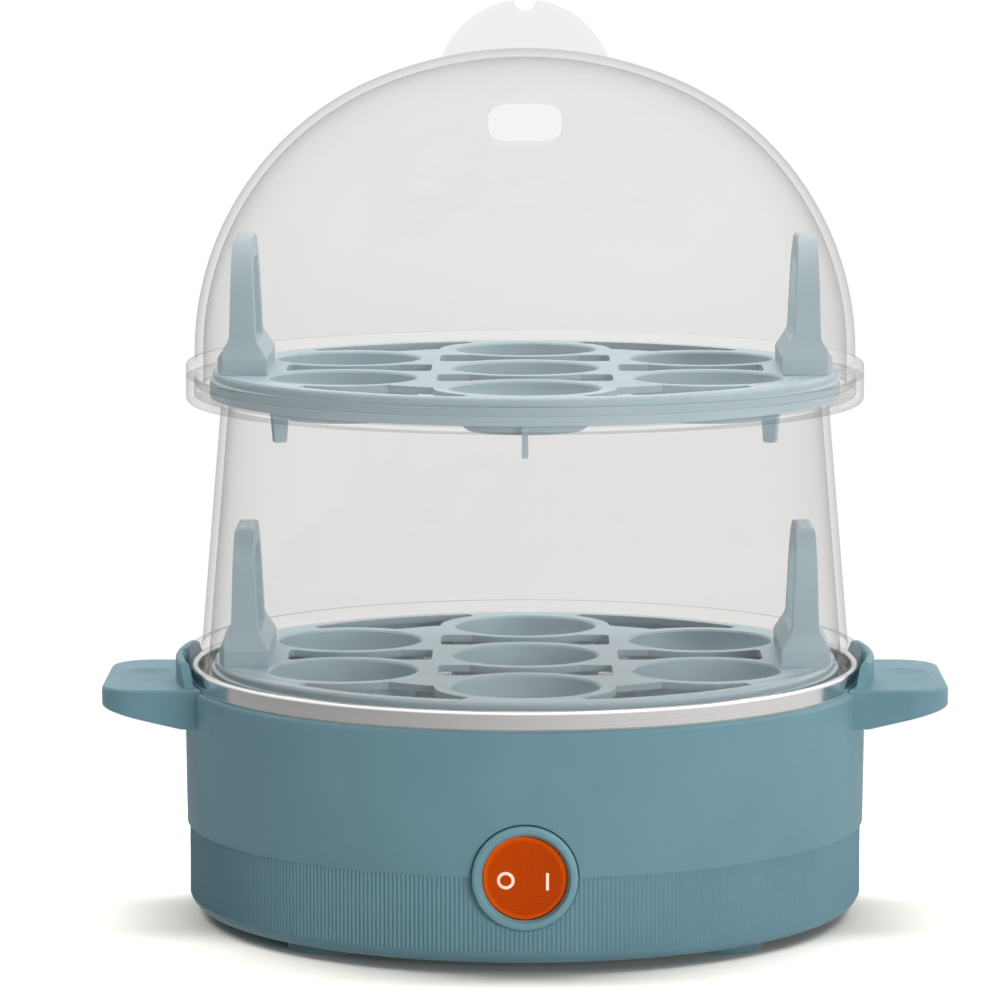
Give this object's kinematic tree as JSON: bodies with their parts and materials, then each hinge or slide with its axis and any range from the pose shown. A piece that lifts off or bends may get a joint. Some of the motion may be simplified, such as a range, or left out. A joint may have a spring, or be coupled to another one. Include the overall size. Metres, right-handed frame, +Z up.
{
  "type": "two-tier egg cooker",
  "caption": "Two-tier electric egg cooker: round base with side handles and rocker switch, steel heating pan, stacked egg trays, clear spacer ring and clear dome lid with fin grip.",
  "frame": {"origin": "centre of the base's footprint, on the plane of the feet", "axes": "+Z up, -Y towards the user (the switch side), +X to the right seen from the front"},
  "size_m": [0.2194, 0.1814, 0.2378],
  "materials": {
    "housing_teal": "satin moulded",
    "bezel_teal": "gloss",
    "rocker_orange": "translucent gloss",
    "steel": "polished rim",
    "silicone": "matt",
    "spreader": "as rolled",
    "element_steel": "heat tinted",
    "zinc_steel": "zinc plated",
    "phenolic": "matt",
    "sleeve": "woven sleeve",
    "white_plastic": "matt",
    "brass": "plain",
    "lamp_glass": "clear",
    "foot_teal": "matt",
    "gland": "matt",
    "lead_black": "matt",
    "lead_white": "matt",
    "lead_red": "matt",
    "tray": "satin moulded",
    "clear": "clear gloss"
  },
  "bodies": {
    "base": {"base_housing": "housing_teal", "heating_plate": "steel", "plate_gasket": "silicone", "heat_spreader": "spreader", "heating_element": "element_steel", "plate_studs": "zinc_steel", "plate_nuts": "zinc_steel", "thermostat": "phenolic", "thermostat_strap": "zinc_steel", "strap_screws": "zinc_steel", "thermal_fuse": "sleeve", "switch_body": "bezel_teal", "switch_terminals": "brass", "switch_lamp": "lamp_glass", "bottom_cover": "housing_teal", "cover_screws": "zinc_steel", "foot_pads": "foot_teal", "cord_gland": "gland", "terminal_block": "white_plastic", "block_screw": "zinc_steel", "lead_live": "lead_black", "lead_lamp": "lead_white", "lead_load": "lead_red", "lead_thermostat": "lead_red", "lead_element": "lead_red", "lead_neutral": "lead_white"},
    "rocker": {"switch_rocker": "rocker_orange", "switch_plunger": "white_plastic", "switch_spring": "zinc_steel"},
    "contact": {"switch_contact_arm": "brass"},
    "lower_tray": {"lower_egg_tray": "tray"},
    "tier": {"tier_ring": "clear"},
    "upper_tray": {"upper_egg_tray": "tray"},
    "lid": {"dome_lid": "clear"}
  },
  "joints": [
    {"name": "lower_tray_lift", "type": "slide", "parent": "base", "child": "lower_tray", "axis": [0, 0, 1], "range_m": [0, 0.04]},
    {"name": "tier_ring_lift", "type": "slide", "parent": "lower_tray", "child": "tier", "axis": [0, 0, 1], "range_m": [0, 0.06]},
    {"name": "upper_tray_lift", "type": "slide", "parent": "tier", "child": "upper_tray", "axis": [0, 0, 1], "range_m": [0, 0.04]},
    {"name": "lid_lift", "type": "slide", "parent": "upper_tray", "child": "lid", "axis": [0, 0, 1], "range_m": [0, 0.06]},
    {"name": "rocker_tilt", "type": "hinge", "parent": "base", "child": "rocker", "pos_m": [0, -0.0855, 0.0244], "axis": [0, 0, 1], "range_deg": [0, 14]},
    {"name": "contact_tilt", "type": "hinge", "parent": "base", "child": "contact", "pos_m": [0, -0.0768, 0.0244], "axis": [0, 0, 1], "range_deg": [-10.1, 0]}
  ],
  "couplings": [
    {"joint": "contact_tilt", "follows": "rocker_tilt", "ratio": -0.71429}
  ]
}
